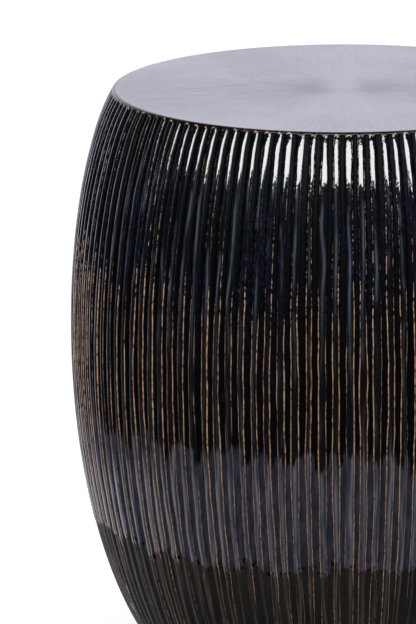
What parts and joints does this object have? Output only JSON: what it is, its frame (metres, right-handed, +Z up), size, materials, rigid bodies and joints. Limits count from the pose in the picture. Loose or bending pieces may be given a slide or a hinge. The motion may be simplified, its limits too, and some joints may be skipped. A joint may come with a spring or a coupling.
{
  "type": "garden stool",
  "caption": "Barrel-shaped ceramic garden stool with a flat round seat, a combed wall of fine upright ribs, a plain foot ring open in the middle, and a hollow inside.",
  "frame": {"origin": "on the floor, on the barrel's axis", "axes": "+Z up along the barrel's axis; the wall and seat are round, and one of the four floor pads lies on +X"},
  "size_m": [0.4, 0.4, 0.45],
  "materials": {
    "seat_glaze": "glossy",
    "wall_glaze": "glossy",
    "bare_clay": "matte",
    "foot_clay": "matte",
    "pad_rubber": "matte"
  },
  "bodies": {
    "root": {"seat_slab": "seat_glaze", "drum_wall": "wall_glaze", "seat_luting_coil": "bare_clay", "foot_luting_coil": "bare_clay", "foot_ring": "foot_clay", "floor_pad_1": "pad_rubber", "floor_pad_2": "pad_rubber", "floor_pad_3": "pad_rubber", "floor_pad_4": "pad_rubber"}
  },
  "joints": []
}
